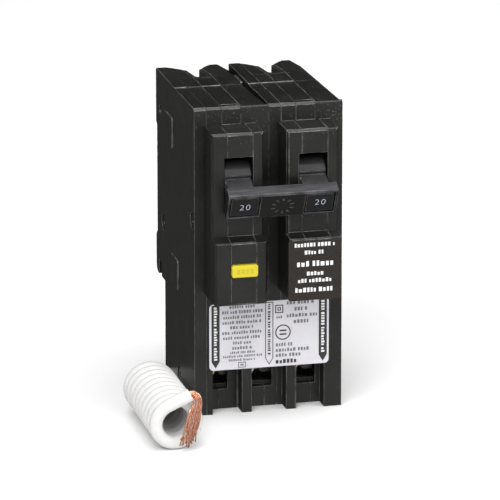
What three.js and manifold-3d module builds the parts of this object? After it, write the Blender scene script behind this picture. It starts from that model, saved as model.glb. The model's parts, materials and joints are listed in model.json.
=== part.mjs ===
// A two-pole plug-on ground-fault circuit breaker, standing on its load end.
// Millimetres, +Z up. X runs across the poles, -Y is the operating face, +Y the panel side.
// The origin is at the middle of the base, under the middle of the width and of the depth.

import * as THREE from 'three';
import { mergeVertices } from 'three/addons/utils/BufferGeometryUtils.js';
import Module from 'manifold-3d';

const wasm = await Module();
wasm.setup();

// ---- Driving dimensions -------------------------------------------------------------------

const POLE = 25.4; // width of one pole
const WIDTH = 2 * POLE;
const HEIGHT = 106.6;
const SEAM = 0.12; // gap between two moulded layers

// Depths are measured from the shoulder, the flat front of the case: y = 0.
const BACK = 57.8; // back of the line end
const MID_BACK = 56.4;
const FOOT_BACK = 58.3; // back of the mounting foot
const LOWER_BACK = 44.9; // back of the load end
const HANDLE_FACE = -12; // raised face around the handles
const TEST_FACE = -17; // raised face around the test button

const FACE_X = { from: 3.2, to: 20.9 }; // across one pole
const FACE_BOTTOM = 43;
const FACE_LEDGE = 64.5;
const LEDGE_CHAMFER = 0.45;
const FACE_TOP = 100.6;
const FACE_CHAMFER = 0.8; // of the top edge and of the upright edges

const PIVOT = { y: -5, z: 83.3 }; // handle pivot
const DRUM_RADIUS = 7;
const HANDLE_REST = THREE.MathUtils.degToRad(28); // below horizontal, the OFF position
const HANDLE_TIP = 14.7; // from the pivot
const HANDLE_X = { from: 7.65, to: 16.85 }; // across one pole
const TIP_X = { from: 8.15, to: 17.6 };
const SLOT_X = { from: 7.4, to: 17.15 };
const TIE = { inner: 10.5, outer: 15.0, below: 4.5, above: 5.9, from: 7.0, to: 44.4 }; // about the pivot
const TIE_WINDOW = { from: 7.85, to: 17.9, below: 3.5, above: 4.9 };

const BUTTON = { x: 13.05, z: 55, width: 8.9, height: 4.2, front: -18.4 };

const LABEL = { from: 5.0, to: 46.3, bottom: 15.5, top: 38.7, radius: 1.5 };
const RATING_LABEL = { from: 28.0, to: 46.2, bottom: 43.4, top: 63.9, radius: 0.5 };

const MECHANISM_X = 12.25; // middle of the mechanism across one pole
const ARM_PIVOT = { y: 10, z: 76 };
const CRADLE_PIVOT = { y: 38, z: 66 };
const ARMATURE_PIVOT = { y: 16, z: 45.5 };
const TRIP_BAR = { y: 22.5, z: 47.2 };
const SOLENOID = { x: 9.5, y: 31, bottom: 23.5, top: 40 };
const TRANSFORMER = { x: 15.0, y: 27, bottom: 25, top: 33, outer: 7.9, inner: 3.6 };

const PAD_HEIGHT = 0.4;
const RIVETS = [
  { y: 46.7, z: 54.9 },
  { y: 3.3, z: 67.2 },
  { y: 23.2, z: 7.6 },
];

// Load end terminals: the recess across the full width, and the window in its back wall.
const TERMINALS = [
  { name: 'left', recess: [6.2, 16.3], window: [6.4, 12.6], chamber: [6.6, 15.7] },
  { name: 'neutral', recess: [19.7, 31.6], window: [20.0, 28.0], chamber: [20.3, 30.4] },
  { name: 'right', recess: [35.1, 44.7], window: [35.4, 43.0], chamber: [35.4, 44.4] },
];
const SCREW_SHIFT = 0.6; // of the screw from the middle of its chamber
const RECESS_DEPTH = 5.8;
const RECESS_TOP = 17.2;
const WINDOW_BOTTOM = 7.0;

// The white lead: its exit in the left side, its coil on the ground, and its stripped end.
const WIRE_RADIUS = 2.2;
const EXIT = { y: 38, z: 3.0 };
const COIL = { x: -13.7, z: 9.25, radius: 7.05, front: -33.9, pitch: 4.45, turns: 9 + 156 / 360 };
const TAIL_ANGLE = THREE.MathUtils.degToRad(24); // rise of the free end as it leaves the coil
const TAIL_LENGTH = 7.9;
const LEAD_BEND = { radius: 8.5, angle: THREE.MathUtils.degToRad(115) };
const BUNDLE_RADIUS = 1.5;

const TIE_FRONT = PIVOT.y - TIE.outer * Math.cos(HANDLE_REST) - TIE.above * Math.sin(HANDLE_REST);
const DEPTH_MIDDLE = (TIE_FRONT + FOOT_BACK) / 2;

// ---- Shapes and solids ----------------------------------------------------------------------

const X_AXIS = new THREE.Vector3(1, 0, 0);
const Y_AXIS = new THREE.Vector3(0, 1, 0);
const Z_AXIS = new THREE.Vector3(0, 0, 1);

function outline(points) {
  return new THREE.Shape(points.map(([a, b]) => new THREE.Vector2(a, b)));
}

function roundedRectangle(a0, a1, b0, b1, radius) {
  const shape = new THREE.Shape();
  shape.absarc(a1 - radius, b0 + radius, radius, -Math.PI / 2, 0);
  shape.absarc(a1 - radius, b1 - radius, radius, 0, Math.PI / 2);
  shape.absarc(a0 + radius, b1 - radius, radius, Math.PI / 2, Math.PI);
  shape.absarc(a0 + radius, b0 + radius, radius, Math.PI, 1.5 * Math.PI);
  return shape;
}

function extrude(shape, depth, curveSegments = 5) {
  return new THREE.ExtrudeGeometry(shape, { depth, bevelEnabled: false, curveSegments });
}

// A shape drawn in (y, z) and extruded from x0 to x1.
function alongX(shape, x0, x1) {
  const turn = new THREE.Matrix4().makeBasis(Y_AXIS, Z_AXIS, X_AXIS);
  return extrude(shape, x1 - x0).applyMatrix4(turn).translate(x0, 0, 0);
}

// A shape drawn in (x, z) and extruded from y0 to y1.
function alongY(shape, y0, y1) {
  const turn = new THREE.Matrix4().makeBasis(X_AXIS, Z_AXIS, Y_AXIS.clone().negate());
  return extrude(shape, y1 - y0).applyMatrix4(turn).translate(0, y1, 0);
}

function block(x0, x1, y0, y1, z0, z1) {
  const box = new THREE.BoxGeometry(x1 - x0, y1 - y0, z1 - z0);
  return box.translate((x0 + x1) / 2, (y0 + y1) / 2, (z0 + z1) / 2);
}

function rodX(x0, x1, y, z, radius, sides = 24) {
  const rod = new THREE.CylinderGeometry(radius, radius, x1 - x0, sides).rotateZ(-Math.PI / 2);
  return rod.translate((x0 + x1) / 2, y, z);
}

function rodY(x, y0, y1, z, radius, sides = 24) {
  return new THREE.CylinderGeometry(radius, radius, y1 - y0, sides).translate(x, (y0 + y1) / 2, z);
}

function rodZ(x, y, z0, z1, radius, sides = 24) {
  const rod = new THREE.CylinderGeometry(radius, radius, z1 - z0, sides).rotateX(Math.PI / 2);
  return rod.translate(x, y, (z0 + z1) / 2);
}

function solid(geometry) {
  const bare = geometry.clone();
  bare.deleteAttribute('normal');
  bare.deleteAttribute('uv');
  const merged = mergeVertices(bare, 1e-4);
  const mesh = new wasm.Mesh({
    numProp: 3,
    vertProperties: new Float32Array(merged.attributes.position.array),
    triVerts: new Uint32Array(merged.index.array),
  });
  return new wasm.Manifold(mesh);
}

function join(...geometries) {
  return geometries.map(solid).reduce((whole, piece) => whole.add(piece));
}

function cut(whole, ...geometries) {
  return geometries.map(solid).reduce((rest, piece) => rest.subtract(piece), whole);
}

function geometryOf(manifold) {
  const { vertProperties, triVerts } = manifold.getMesh();
  const indexed = new THREE.BufferGeometry();
  indexed.setAttribute('position', new THREE.BufferAttribute(vertProperties, 3));
  indexed.setIndex(new THREE.BufferAttribute(triVerts, 1));
  const faceted = indexed.toNonIndexed();
  faceted.computeVertexNormals();
  return faceted;
}

// ---- Materials --------------------------------------------------------------------------------

const MATERIALS = {
  blackPlastic: { color: 0x2c2b2a, roughness: 0.42, metalness: 0 },
  handlePlastic: { color: 0x1d1d1f, roughness: 0.35, metalness: 0 },
  yellowPlastic: { color: 0xf2e32a, roughness: 0.4, metalness: 0 },
  whiteLabel: { color: 0xeceaf2, roughness: 0.5, metalness: 0 },
  darkLabel: { color: 0x1e1513, roughness: 0.25, metalness: 0 },
  copper: { color: 0xc9805c, roughness: 0.3, metalness: 1 },
  brass: { color: 0xc9a45a, roughness: 0.35, metalness: 1 },
  steel: { color: 0x8d8f92, roughness: 0.35, metalness: 1 },
  tin: { color: 0xb9b9b6, roughness: 0.35, metalness: 1 },
  silver: { color: 0xd8d6cf, roughness: 0.3, metalness: 1 },
  vulcanFibre: { color: 0x6b4a35, roughness: 0.8, metalness: 0 },
  boardGreen: { color: 0x1f5a36, roughness: 0.5, metalness: 0 },
  coilTape: { color: 0x7a5a1e, roughness: 0.5, metalness: 0 },
  whiteInsulation: { color: 0xf1f0ee, roughness: 0.35, metalness: 0 },
};

const model = new THREE.Group();
const assembly = new THREE.Group();
assembly.position.set(-POLE, -DEPTH_MIDDLE, 0);
model.add(assembly);

function add(name, form, finish) {
  const geometry = form.isBufferGeometry ? form : geometryOf(form);
  const mesh = new THREE.Mesh(geometry, new THREE.MeshStandardMaterial(MATERIALS[finish]));
  mesh.name = name;
  assembly.add(mesh);
  return mesh;
}

// ---- Case ---------------------------------------------------------------------------------------

// Side outline of the case at the shoulder, with the mounting foot and its rail slot at the back.
function caseOutline() {
  const front = [[0, 0], [0, HEIGHT - 0.8], [1, HEIGHT]];
  const band = [[20.2, HEIGHT], [20.4, HEIGHT - 0.25], [29.1, HEIGHT - 0.25], [29.3, HEIGHT]];
  const lineEnd = [[BACK - 0.6, HEIGHT], [BACK, HEIGHT - 0.6], [BACK, 88], [MID_BACK, 86.8]];
  const foot = [[MID_BACK, 49.5], [FOOT_BACK, 47.8], [FOOT_BACK, 37.5]];
  const shape = outline([...front, ...band, ...lineEnd, ...foot]);
  shape.absarc(FOOT_BACK - 3, 37.5, 3, 0, -Math.PI / 2, true);
  shape.lineTo(54, 34.5);
  shape.lineTo(54, 39.8);
  shape.lineTo(50.3, 39.8);
  shape.lineTo(50.3, 34.5);
  shape.lineTo(LOWER_BACK, 34.5);
  shape.lineTo(LOWER_BACK, 0);
  return shape;
}

// Side outline of the raised front around the handle and the test button.
function faceOutline() {
  return outline([
    [-SEAM, FACE_BOTTOM],
    [TEST_FACE + 0.5, FACE_BOTTOM],
    [TEST_FACE, FACE_BOTTOM + 0.5],
    [TEST_FACE, FACE_LEDGE - LEDGE_CHAMFER],
    [TEST_FACE + LEDGE_CHAMFER, FACE_LEDGE],
    [HANDLE_FACE, FACE_LEDGE + 1],
    [HANDLE_FACE, FACE_TOP - FACE_CHAMFER],
    [HANDLE_FACE + FACE_CHAMFER, FACE_TOP],
    [-SEAM, FACE_TOP],
  ]);
}

// What is cut away above the roof behind a depth, below a profile of [x, drop] points. At the
// front only a share of the drops is left, and a share of the profile's width, up to its right.
function roofSlope(pole, profile, front, share, widthShare) {
  const over = HEIGHT + 3;
  const points = profile.map(([x, drop]) => [pole + x, HEIGHT - drop + 0.001]);
  const left = pole + profile[0][0];
  const right = pole + profile[profile.length - 1][0];
  const slope = alongY(outline([[left, over], ...points, [right, over]]), front, BACK + 1);
  const place = slope.attributes.position;
  for (let i = 0; i < place.count; i += 1) {
    if (place.getY(i) > front + 1) {
      continue;
    }
    place.setX(i, right - widthShare * (right - place.getX(i)));
    if (place.getZ(i) < HEIGHT) {
      place.setZ(i, HEIGHT - share * (HEIGHT - place.getZ(i)));
    }
  }
  return slope;
}

// The guides that lead a bus stab into the jaw, the flank next to the other pole, and a slot.
function roofCuts(pole) {
  const guides = [[3.2, 0], [10.6, 1.7], [12.3, 4], [15.1, 4], [15.1, 1.8], [19, 0]];
  return [
    roofSlope(pole, guides, 40, 0.01, 1),
    roofSlope(pole, [[21.2, 0], [25.5, 2.6]], 1.2, 0.35, 0.35),
    block(pole + 9.9, pole + 15.4, 2.4, 3.5, HEIGHT - 0.8, HEIGHT + 1),
  ];
}

// The chamfers on the upright edges of the raised front of one pole.
function faceEdgeCuts(pole) {
  const steps = [[HANDLE_FACE, FACE_LEDGE, FACE_TOP + 1], [TEST_FACE, FACE_BOTTOM - 1, FACE_LEDGE + 1]];
  return steps.flatMap(([face, bottom, top]) => {
    return [[FACE_X.from, 1], [FACE_X.to, -1]].map(([edge, inward]) => {
      const near = pole + edge - 0.3 * inward;
      const far = pole + edge + FACE_CHAMFER * inward;
      const corner = [[near, face - 0.3], [far, face - 0.3], [far, face], [near, face + FACE_CHAMFER + 0.3]];
      const wedge = inward > 0 ? corner : corner.reverse();
      return extrude(outline(wedge), top - bottom).translate(0, 0, bottom);
    });
  });
}

// The hollow inside one pole, for the mechanism and the electronics.
function chamberCut(pole) {
  const sides = outline([[8, 21], [8, 44], [6, 46], [6, 96], [43, 96], [43, 50], [40.5, 46], [40.5, 21]]);
  return alongX(sides, pole + 6.2, pole + 23.6);
}

function handleCuts(pole) {
  return [
    block(pole + SLOT_X.from, pole + SLOT_X.to, -13, 3.5, 74.8, 92.35),
    block(pole + 9, pole + 15.5, 3, 6.5, 76.5, 90),
    rodX(pole + 6.4, pole + 18.1, PIVOT.y, PIVOT.z, 1.65),
  ];
}

function jawCuts(pole) {
  return [
    block(pole + 13.1, pole + 15.1, 48.4, BACK + 1, 86.5, HEIGHT + 1),
    block(pole + 11.4, pole + 16.8, 43.9, 56.3, 86.3, 100),
    block(pole + 9.8, pole + 16.8, 42, 45, 88.5, 94.5),
  ];
}

function terminalCuts() {
  return TERMINALS.flatMap(({ recess, window, chamber }) => {
    const middle = (chamber[0] + chamber[1]) / 2;
    return [
      block(recess[0], recess[1], -1, RECESS_DEPTH, -1, RECESS_TOP),
      block(window[0], window[1], RECESS_DEPTH - 0.5, 8.6, WINDOW_BOTTOM, RECESS_TOP),
      block(chamber[0], chamber[1], 8.4, 19.4, 8.2, 19.4),
      block(middle - 3, middle + 3, 11.2, 18.2, -1, 9),
    ];
  });
}

function rivetCuts() {
  return RIVETS.flatMap(({ y, z }) => [
    rodX(-1, WIDTH + 1, y, z, 1.6),
    rodX(-1, 1.2, y, z, 2.85, 32),
    rodX(WIDTH - 1.2, WIDTH + 1, y, z, 2.85, 32),
  ]);
}

function sideCuts() {
  return [
    rodX(-1, 0.9, 51.2, 93.4, 1.7),
    rodX(-1, 5.2, EXIT.y, EXIT.z, WIRE_RADIUS + 0.35),
  ];
}

// Locating pads that stand proud of the left side.
function sidePads() {
  const pads = [[31.8, 43.6, 84.6, 95.4], [24, 34.2, 37, 47.6]];
  return pads.map(([y0, y1, z0, z1]) => alongX(roundedRectangle(y0, y1, z0, z1, 1.2), -PAD_HEIGHT, 1));
}

function testButtonCuts() {
  const { x, z, width, height } = BUTTON;
  const side = width / 2 + 0.2;
  const edge = height / 2 + 0.2;
  return [
    alongY(roundedRectangle(x - side, x + side, z - edge, z + edge, 0.9), TEST_FACE - 1, -5),
    block(x - 2.2, x + 2.2, -6, 8.5, z - 1.5, z + 1.5),
  ];
}

const LAYERS = [
  { name: 'outer_cover', from: 0, to: 4.3 },
  { name: 'spacer', from: 4.3, to: 9.35, face: [FACE_X.from, 8.5] },
  { name: 'middle_case', from: 9.35, to: 15.9, face: [8.5, 17.2] },
  { name: 'base', from: 15.9, to: 25.4, face: [17.2, FACE_X.to] },
];

function layerBody(pole, layer) {
  const from = pole + layer.from + (pole + layer.from > 0 ? SEAM / 2 : 0);
  const to = pole + layer.to - (pole + layer.to < WIDTH ? SEAM / 2 : 0);
  const slab = alongX(caseOutline(), from, to);
  if (!layer.face) {
    return pole === 0 ? join(slab, ...sidePads()) : join(slab);
  }
  const left = pole + layer.face[0] + SEAM / 2;
  const right = pole + layer.face[1] - SEAM / 2;
  const raised = alongX(faceOutline(), left, right);
  const root = block(Math.max(from, left), Math.min(to, right), -1, 1, FACE_BOTTOM, FACE_TOP);
  return join(slab, raised, root);
}

function addCase(side, pole) {
  const cuts = [
    ...roofCuts(pole),
    ...faceEdgeCuts(pole),
    chamberCut(pole),
    ...handleCuts(pole),
    ...jawCuts(pole),
    ...terminalCuts(),
    ...rivetCuts(),
    ...sideCuts(),
    block(POLE - 1.9, POLE - 0.05, 12, 49, 88, HEIGHT + 1),
    block(POLE - 3, POLE + 7, TRIP_BAR.y - 2.2, TRIP_BAR.y + 2.2, TRIP_BAR.z - 2.2, TRIP_BAR.z + 2.2),
  ];
  if (side === 'left') {
    cuts.push(...testButtonCuts());
  }
  for (const layer of LAYERS) {
    add(`${side}_${layer.name}`, cut(layerBody(pole, layer), ...cuts), 'blackPlastic');
  }
}

// ---- Handles, tie bar, test button ------------------------------------------------------------

// Turns a shape about the handle pivot from the horizontal to the rest position.
function atRest(geometry) {
  return geometry.translate(0, -PIVOT.y, -PIVOT.z).rotateX(HANDLE_REST).translate(0, PIVOT.y, PIVOT.z);
}

function addHandle(side, pole) {
  const { y, z } = PIVOT;
  const neck = outline([[y, z - 3.7], [y - 12, z - 3.2], [y - 12, z + 4], [y, z + 4]]);
  const tip = outline([
    [y - 11.5, z - 3.2],
    [y - HANDLE_TIP, z - 3.1],
    [y - HANDLE_TIP, z + 4.6],
    [y - 12.1, z + 4.6],
    [y - 11.5, z + 4],
  ]);
  const lug = outline([[y + 2, z - 2.2], [y + 8, z - 1.4], [y + 8, z + 1.4], [y + 2, z + 2.2]]);
  const from = pole + HANDLE_X.from;
  const to = pole + HANDLE_X.to;
  const lip = block(from - 1, to + 1, y - 8, y - 4.5, z + 4, z + 8);
  const drum = cut(join(rodX(from, to, y, z, DRUM_RADIUS, 40)), atRest(lip));
  const handle = drum.add(join(
    atRest(alongX(neck, pole + TIP_X.from, to)),
    atRest(alongX(tip, pole + TIP_X.from, pole + TIP_X.to)),
    atRest(alongX(lug, pole + 10, pole + 14.5)),
    rodX(pole + 6.6, pole + 17.9, y, z, 1.5),
  ));
  add(`${side}_handle`, handle, 'handlePlastic');
}

function addHandleTie() {
  const { y, z } = PIVOT;
  const bar = outline([
    [y - TIE.inner, z - TIE.below],
    [y - TIE.inner, z + TIE.above],
    [y - TIE.outer + 0.5, z + TIE.above],
    [y - TIE.outer, z + TIE.above - 0.5],
    [y - TIE.outer, z - TIE.below + 0.5],
    [y - TIE.outer + 0.5, z - TIE.below],
  ]);
  const { from, to, below, above } = TIE_WINDOW;
  const windows = [0, POLE].map((pole) => block(pole + from, pole + to, y - 20, y - 5, z - below, z + above));
  const tie = cut(join(alongX(bar, TIE.from, TIE.to)), ...windows);
  add('handle_tie', atRest(geometryOf(tie)), 'handlePlastic');
}

function addTestButton() {
  const { x, z, width, height, front } = BUTTON;
  const side = width / 2;
  const edge = height / 2;
  const cap = alongY(roundedRectangle(x - side, x + side, z - edge, z + edge, 0.8), front, -8);
  add('test_button', join(cap, block(x - 1.8, x + 1.8, -9, 4.6, z - 1.1, z + 1.1)), 'yellowPlastic');
  const blade = block(x - 2, x + 2, 6.35, 6.85, 46.5, z + 3.5);
  const tab = block(x - 2, x + 2, 6.5, 8.6, z + 3, z + 3.6);
  add('test_contact', join(blade, tab), 'copper');
}

function addLabels() {
  const { from, to, bottom, top, radius } = LABEL;
  add('ratings_label', alongY(roundedRectangle(from, to, bottom, top, radius), -0.25, -0.03), 'whiteLabel');
  const small = RATING_LABEL;
  const sheet = roundedRectangle(small.from, small.to, small.bottom, small.top, small.radius);
  add('rating_sticker', alongY(sheet, TEST_FACE - 0.22, TEST_FACE - 0.03), 'darkLabel');
}

function addRivets() {
  RIVETS.forEach(({ y, z }, i) => {
    const rivet = join(
      rodX(0.5, WIDTH - 0.5, y, z, 1.4, 16),
      rodX(0.3, 1.0, y, z, 2.5, 20),
      rodX(WIDTH - 1.0, WIDTH - 0.3, y, z, 2.5, 20),
    );
    const dimples = [rodX(0, 0.8, y, z, 1.0, 12), rodX(WIDTH - 0.8, WIDTH, y, z, 1.0, 12)];
    add(`case_rivet_${i + 1}`, cut(rivet, ...dimples), 'steel');
  });
}

// ---- Line side: jaw, fixed contact, arc chute -----------------------------------------------------

function addLineSide(side, pole) {
  const jaw = join(
    block(pole + 12.0, pole + 13.0, 44.4, 56.0, 87, 99.5),
    block(pole + 15.2, pole + 16.2, 44.4, 56.0, 87, 99.5),
    block(pole + 12.0, pole + 16.2, 44.4, 45.6, 87, 99.5),
    block(pole + 10.2, pole + 14.3, 31, 45, 91, 92.4),
  );
  add(`${side}_line_jaw`, jaw, 'tin');
  add(`${side}_fixed_contact`, rodZ(pole + MECHANISM_X, 33.5, 89.7, 90.95, 2, 20), 'silver');

  const plates = [0, 1, 2, 3].map((i) => {
    return block(pole + 7.2, pole + 17.3, 37.5 + 0.3 * i, 41.5, 74.5 + 3.2 * i, 75.5 + 3.2 * i);
  });
  const cheeks = [7.0, 16.5].map((x) => block(pole + x, pole + x + 1, 37, 42, 73, 88));
  add(`${side}_arc_chute`, join(...plates, ...cheeks), 'steel');
}

// ---- Switching mechanism ----------------------------------------------------------------------------

function addContactArm(side, pole) {
  const { y, z } = ARM_PIVOT;
  const x = pole + MECHANISM_X;
  const back = y + 26;
  const blade = outline([[y, z - 2.2], [back, z + 2.6], [back, z + 5.4], [y + 18, z + 5.4], [y, z + 2.2]]);
  const arm = join(alongX(blade, x - 1.3, x + 1.3), rodX(x - 2.4, x + 2.4, y, z, 2.6));
  add(`${side}_contact_arm`, cut(arm, rodX(x - 3, x + 3, y, z, 1.1)), 'copper');
  add(`${side}_moving_contact`, rodZ(x, 33.5, z + 5.7, z + 6.9, 1.9, 20), 'silver');
  add(`${side}_arm_pin`, rodX(pole + 6.5, pole + 18.4, y, z, 1.0, 16), 'steel');
}

function addCradle(side, pole) {
  const { y, z } = CRADLE_PIVOT;
  const x = pole + MECHANISM_X;
  const lever = outline([
    [y + 2.5, z - 2.5],
    [y + 2.5, z + 2.5],
    [y - 12, z + 1.5],
    [17, 61.2],
    [17, 59.6],
    [y - 12, z - 2],
  ]);
  const cradle = cut(join(alongX(lever, x - 0.8, x + 0.8)), rodX(x - 2, x + 2, y, z, 1.2));
  add(`${side}_cradle`, cradle, 'steel');
  add(`${side}_cradle_pin`, rodX(pole + 6.5, pole + 18.4, y, z, 1.05, 16), 'steel');
}

// The tension spring between the arm and the cradle, drawn as the envelope of its turns.
function addToggleSpring(side, pole) {
  add(`${side}_toggle_spring`, rodZ(pole + MECHANISM_X + 3.6, 24, 66.5, 79, 1.7, 16), 'steel');
}

function addTripUnit(side, pole) {
  const x = pole + MECHANISM_X;
  const bimetal = join(
    block(x - 3.2, x + 3.2, 10.2, 11.2, 24, 57.5),
    block(x - 3.2, x + 3.2, 10.2, 14, 22.6, 24.2),
  );
  add(`${side}_bimetal`, bimetal, 'brass');

  const yoke = join(
    block(x - 5.2, x + 5.2, 8.4, 9.4, 44.5, 46.2),
    block(x - 5.2, x + 5.2, 7.2, 8.6, 46.2, 56),
    block(x - 5.2, x + 5.2, 7.9, 9, 45, 47),
    block(x - 5.2, x - 4.1, 7.2, 13.6, 46.2, 56),
    block(x + 4.1, x + 5.2, 7.2, 13.6, 46.2, 56),
  );
  add(`${side}_magnet_yoke`, yoke, 'steel');

  const { y, z } = ARMATURE_PIVOT;
  const armature = cut(
    join(block(x - 5, x + 5, y - 0.6, y + 0.6, z, z + 17.5), rodX(x - 5.8, x + 5.8, y, z, 0.9, 16)),
    block(x - 1.4, x + 1.4, y - 2, y + 2, 58.6, 62.2),
  );
  add(`${side}_armature`, armature, 'steel');
}

function sectionOf(radius, sides) {
  const shape = new THREE.Shape();
  for (let i = 0; i < sides; i += 1) {
    const angle = (2 * Math.PI * (i + 0.5)) / sides;
    shape[i ? 'lineTo' : 'moveTo'](radius * Math.cos(angle), radius * Math.sin(angle));
  }
  return shape;
}

function tube(path, radius, sides, steps) {
  const options = { steps, bevelEnabled: false, extrudePath: path };
  return new THREE.ExtrudeGeometry(sectionOf(radius, sides), options);
}

// The flexible braid that feeds the arm from the bimetal.
function addBraid(side, pole) {
  const x = pole + MECHANISM_X - 3.6;
  const points = [[13.6, 72.6], [14.8, 69], [13.4, 65], [12.6, 61.5], [12.5, 57]];
  const path = new THREE.CatmullRomCurve3(points.map(([y, z]) => new THREE.Vector3(x, y, z)));
  add(`${side}_braid`, tube(path, 0.9, 8, 14), 'copper');
}

// ---- Ground-fault electronics and the common trip bar -----------------------------------------------

function addTripBar() {
  const { y, z } = TRIP_BAR;
  const bar = [rodX(7, POLE + 22.8, y, z, 1.5)];
  for (const pole of [0, POLE]) {
    const x = pole + MECHANISM_X;
    bar.push(block(x - 3, x + 3, 17.2, y, z + 0.2, z + 1.2));
  }
  bar.push(block(SOLENOID.x - 2, SOLENOID.x + 2, y, SOLENOID.y + 2, z - 0.8, z + 0.6));
  add('trip_bar', join(...bar), 'vulcanFibre');
}

function addSolenoid() {
  const { x, y, bottom, top } = SOLENOID;
  const bobbin = join(rodZ(x, y, bottom, top, 3.0), rodZ(x, y, bottom + 1.2, top - 1.2, 2.9));
  const flanges = [rodZ(x, y, bottom, bottom + 1.2, 3.1), rodZ(x, y, top - 1.2, top, 3.1)];
  const body = flanges.map(solid).reduce((whole, piece) => whole.add(piece), bobbin);
  add('trip_solenoid', cut(body, rodZ(x, y, bottom + 3, top + 1, 1.25)), 'coilTape');
  add('solenoid_plunger', rodZ(x, y, bottom + 6, TRIP_BAR.z - 1.1, 1.0, 20), 'steel');
}

function addCircuitBoard() {
  const board = join(
    block(20.6, 22.2, 10, 39.5, 22, 43.5),
    block(18.4, 20.8, 14, 20, 26, 32),
    block(17.6, 20.8, 24, 30, 30, 40),
    block(18.8, 20.8, 33, 37, 25, 28),
    rodX(17.4, 20.8, 17, 38, 2.6, 20),
  );
  add('circuit_board', board, 'boardGreen');
}

function addTransformer() {
  const { x, y, bottom, top, outer, inner } = TRANSFORMER;
  const ring = [[inner, bottom], [outer, bottom], [outer, top], [inner, top], [inner, bottom]];
  const lathe = new THREE.LatheGeometry(ring.map(([r, z]) => new THREE.Vector2(r, z)), 32);
  const core = lathe.rotateX(Math.PI / 2).scale(1, 1, 1);
  add('current_transformer', join(core.translate(POLE + x, y, 0)), 'coilTape');
}

// A tinned strap that stands in the valley between the poles and feeds the electronics.
function addLineStrap() {
  const strap = join(
    block(POLE - 1.2, POLE - 0.35, 35, 45.2, 90, 105.6),
    block(POLE - 1.6, POLE - 0.35, 38, 42, 88.6, 91),
  );
  add('line_strap', strap, 'tin');
}

// ---- Load terminals -------------------------------------------------------------------------------

function addTerminal({ name, chamber }) {
  const from = chamber[0] + 0.3;
  const to = chamber[1] - 0.3;
  const middle = (chamber[0] + chamber[1]) / 2;
  const axis = middle + SCREW_SHIFT;
  const ear = [[0, 10.2], [0.9, 10.2], [2.3, 12.4], [2.3, 18.2], [0, 18.2]].map(([x, z]) => [from + x, z]);
  const lug = cut(
    join(
      block(from, to, 13.5, 19.1, 9.3, 18.2),
      alongY(outline(ear), 9.0, 13.7),
      block(middle - 2.5, middle + 2.5, 17.9, 19.1, 9.3, 19.2),
    ),
    block(middle - 2.9, middle + 2.9, 12.4, 17.6, 8, 17),
    rodY(axis, 17, 20, 13.2, 1.7),
  );
  add(`${name}_terminal_lug`, lug, name === 'neutral' ? 'tin' : 'brass');

  const screw = cut(
    join(rodY(axis, 8.7, 10.7, 13.2, 2.2), rodY(axis, 10.5, 18.7, 13.2, 1.5)),
    block(axis - 3, axis + 3, 8, 9.6, 12.8, 13.6),
  );
  add(`${name}_terminal_screw`, screw, 'steel');
}

// ---- The white lead ---------------------------------------------------------------------------------

// From its hole in the left side the lead swings along the ground and meets the coil underneath.
function leadPath() {
  const { radius, angle } = LEAD_BEND;
  const coilBack = COIL.front + COIL.turns * COIL.pitch;
  const run = (EXIT.y - coilBack - 2 * radius * (1 - Math.cos(angle))) / Math.sin(angle);
  const start = COIL.x + 2 * radius * Math.sin(angle) + run * Math.cos(angle);
  const flat = [[3, EXIT.y], [0, EXIT.y]];
  for (let i = 0; i <= 6; i += 1) {
    const turned = (angle * i) / 6;
    flat.push([start - radius * Math.sin(turned), EXIT.y - radius * (1 - Math.cos(turned))]);
  }
  for (let i = 6; i >= 0; i -= 1) {
    const left = (angle * i) / 6;
    flat.push([COIL.x + radius * Math.sin(left), coilBack + radius * (1 - Math.cos(left))]);
  }
  const rest = COIL.z - COIL.radius;
  const points = flat.map(([x, y], i) => {
    const share = Math.min(1, Math.max(0, (i - 1) / 5));
    return new THREE.Vector3(x, y, EXIT.z + (rest - EXIT.z) * share);
  });
  return new THREE.CatmullRomCurve3(points, false, 'centripetal');
}

function addCoil() {
  const inner = COIL.radius - WIRE_RADIUS;
  const outer = COIL.radius + WIRE_RADIUS;
  const from = COIL.front + WIRE_RADIUS + 0.3;
  const to = COIL.front + COIL.turns * COIL.pitch - WIRE_RADIUS - 0.3;
  const ring = [[inner, from], [outer, from], [outer, to], [inner, to], [inner, from]];
  const lathe = new THREE.LatheGeometry(ring.map(([r, y]) => new THREE.Vector2(r, y)), 36);
  add('pigtail_coil', join(lathe.translate(COIL.x, 0, COIL.z)), 'whiteInsulation');
}

// The straight free end of the insulation leaves the coil tangentially near its top.
function tailEnds() {
  const along = new THREE.Vector3(Math.cos(TAIL_ANGLE), 0, Math.sin(TAIL_ANGLE));
  const start = new THREE.Vector3(
    COIL.x - COIL.radius * Math.sin(TAIL_ANGLE),
    COIL.front,
    COIL.z + COIL.radius * Math.cos(TAIL_ANGLE),
  );
  return { start, end: start.clone().addScaledVector(along, TAIL_LENGTH), along };
}

// The stripped strands bend over to the right and hang in front of the coil.
function strandPath() {
  const { end, along } = tailEnds();
  const bare = end.clone().addScaledVector(along, 0.3);
  const crest = [[1.1, -0.1, 0.45], [2.5, -0.6, -0.7]];
  const fall = [[2.9, -1.4, -3.6], [1.9, -1.8, -7.2], [-0.6, -2, -15.9]];
  const points = [...crest, ...fall].map(([x, y, z]) => bare.clone().add(new THREE.Vector3(x, y, z)));
  return new THREE.CatmullRomCurve3([bare, ...points], false, 'centripetal');
}

function addLead() {
  add('pigtail_lead', tube(leadPath(), WIRE_RADIUS, 10, 40), 'whiteInsulation');
  addCoil();
  const { start, end } = tailEnds();
  add('pigtail_tail', tube(new THREE.LineCurve3(start, end), WIRE_RADIUS, 10, 2), 'whiteInsulation');
  add('pigtail_strands', tube(strandPath(), BUNDLE_RADIUS, 8, 20), 'copper');
}

// ---- Assembly -----------------------------------------------------------------------------------------

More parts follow.
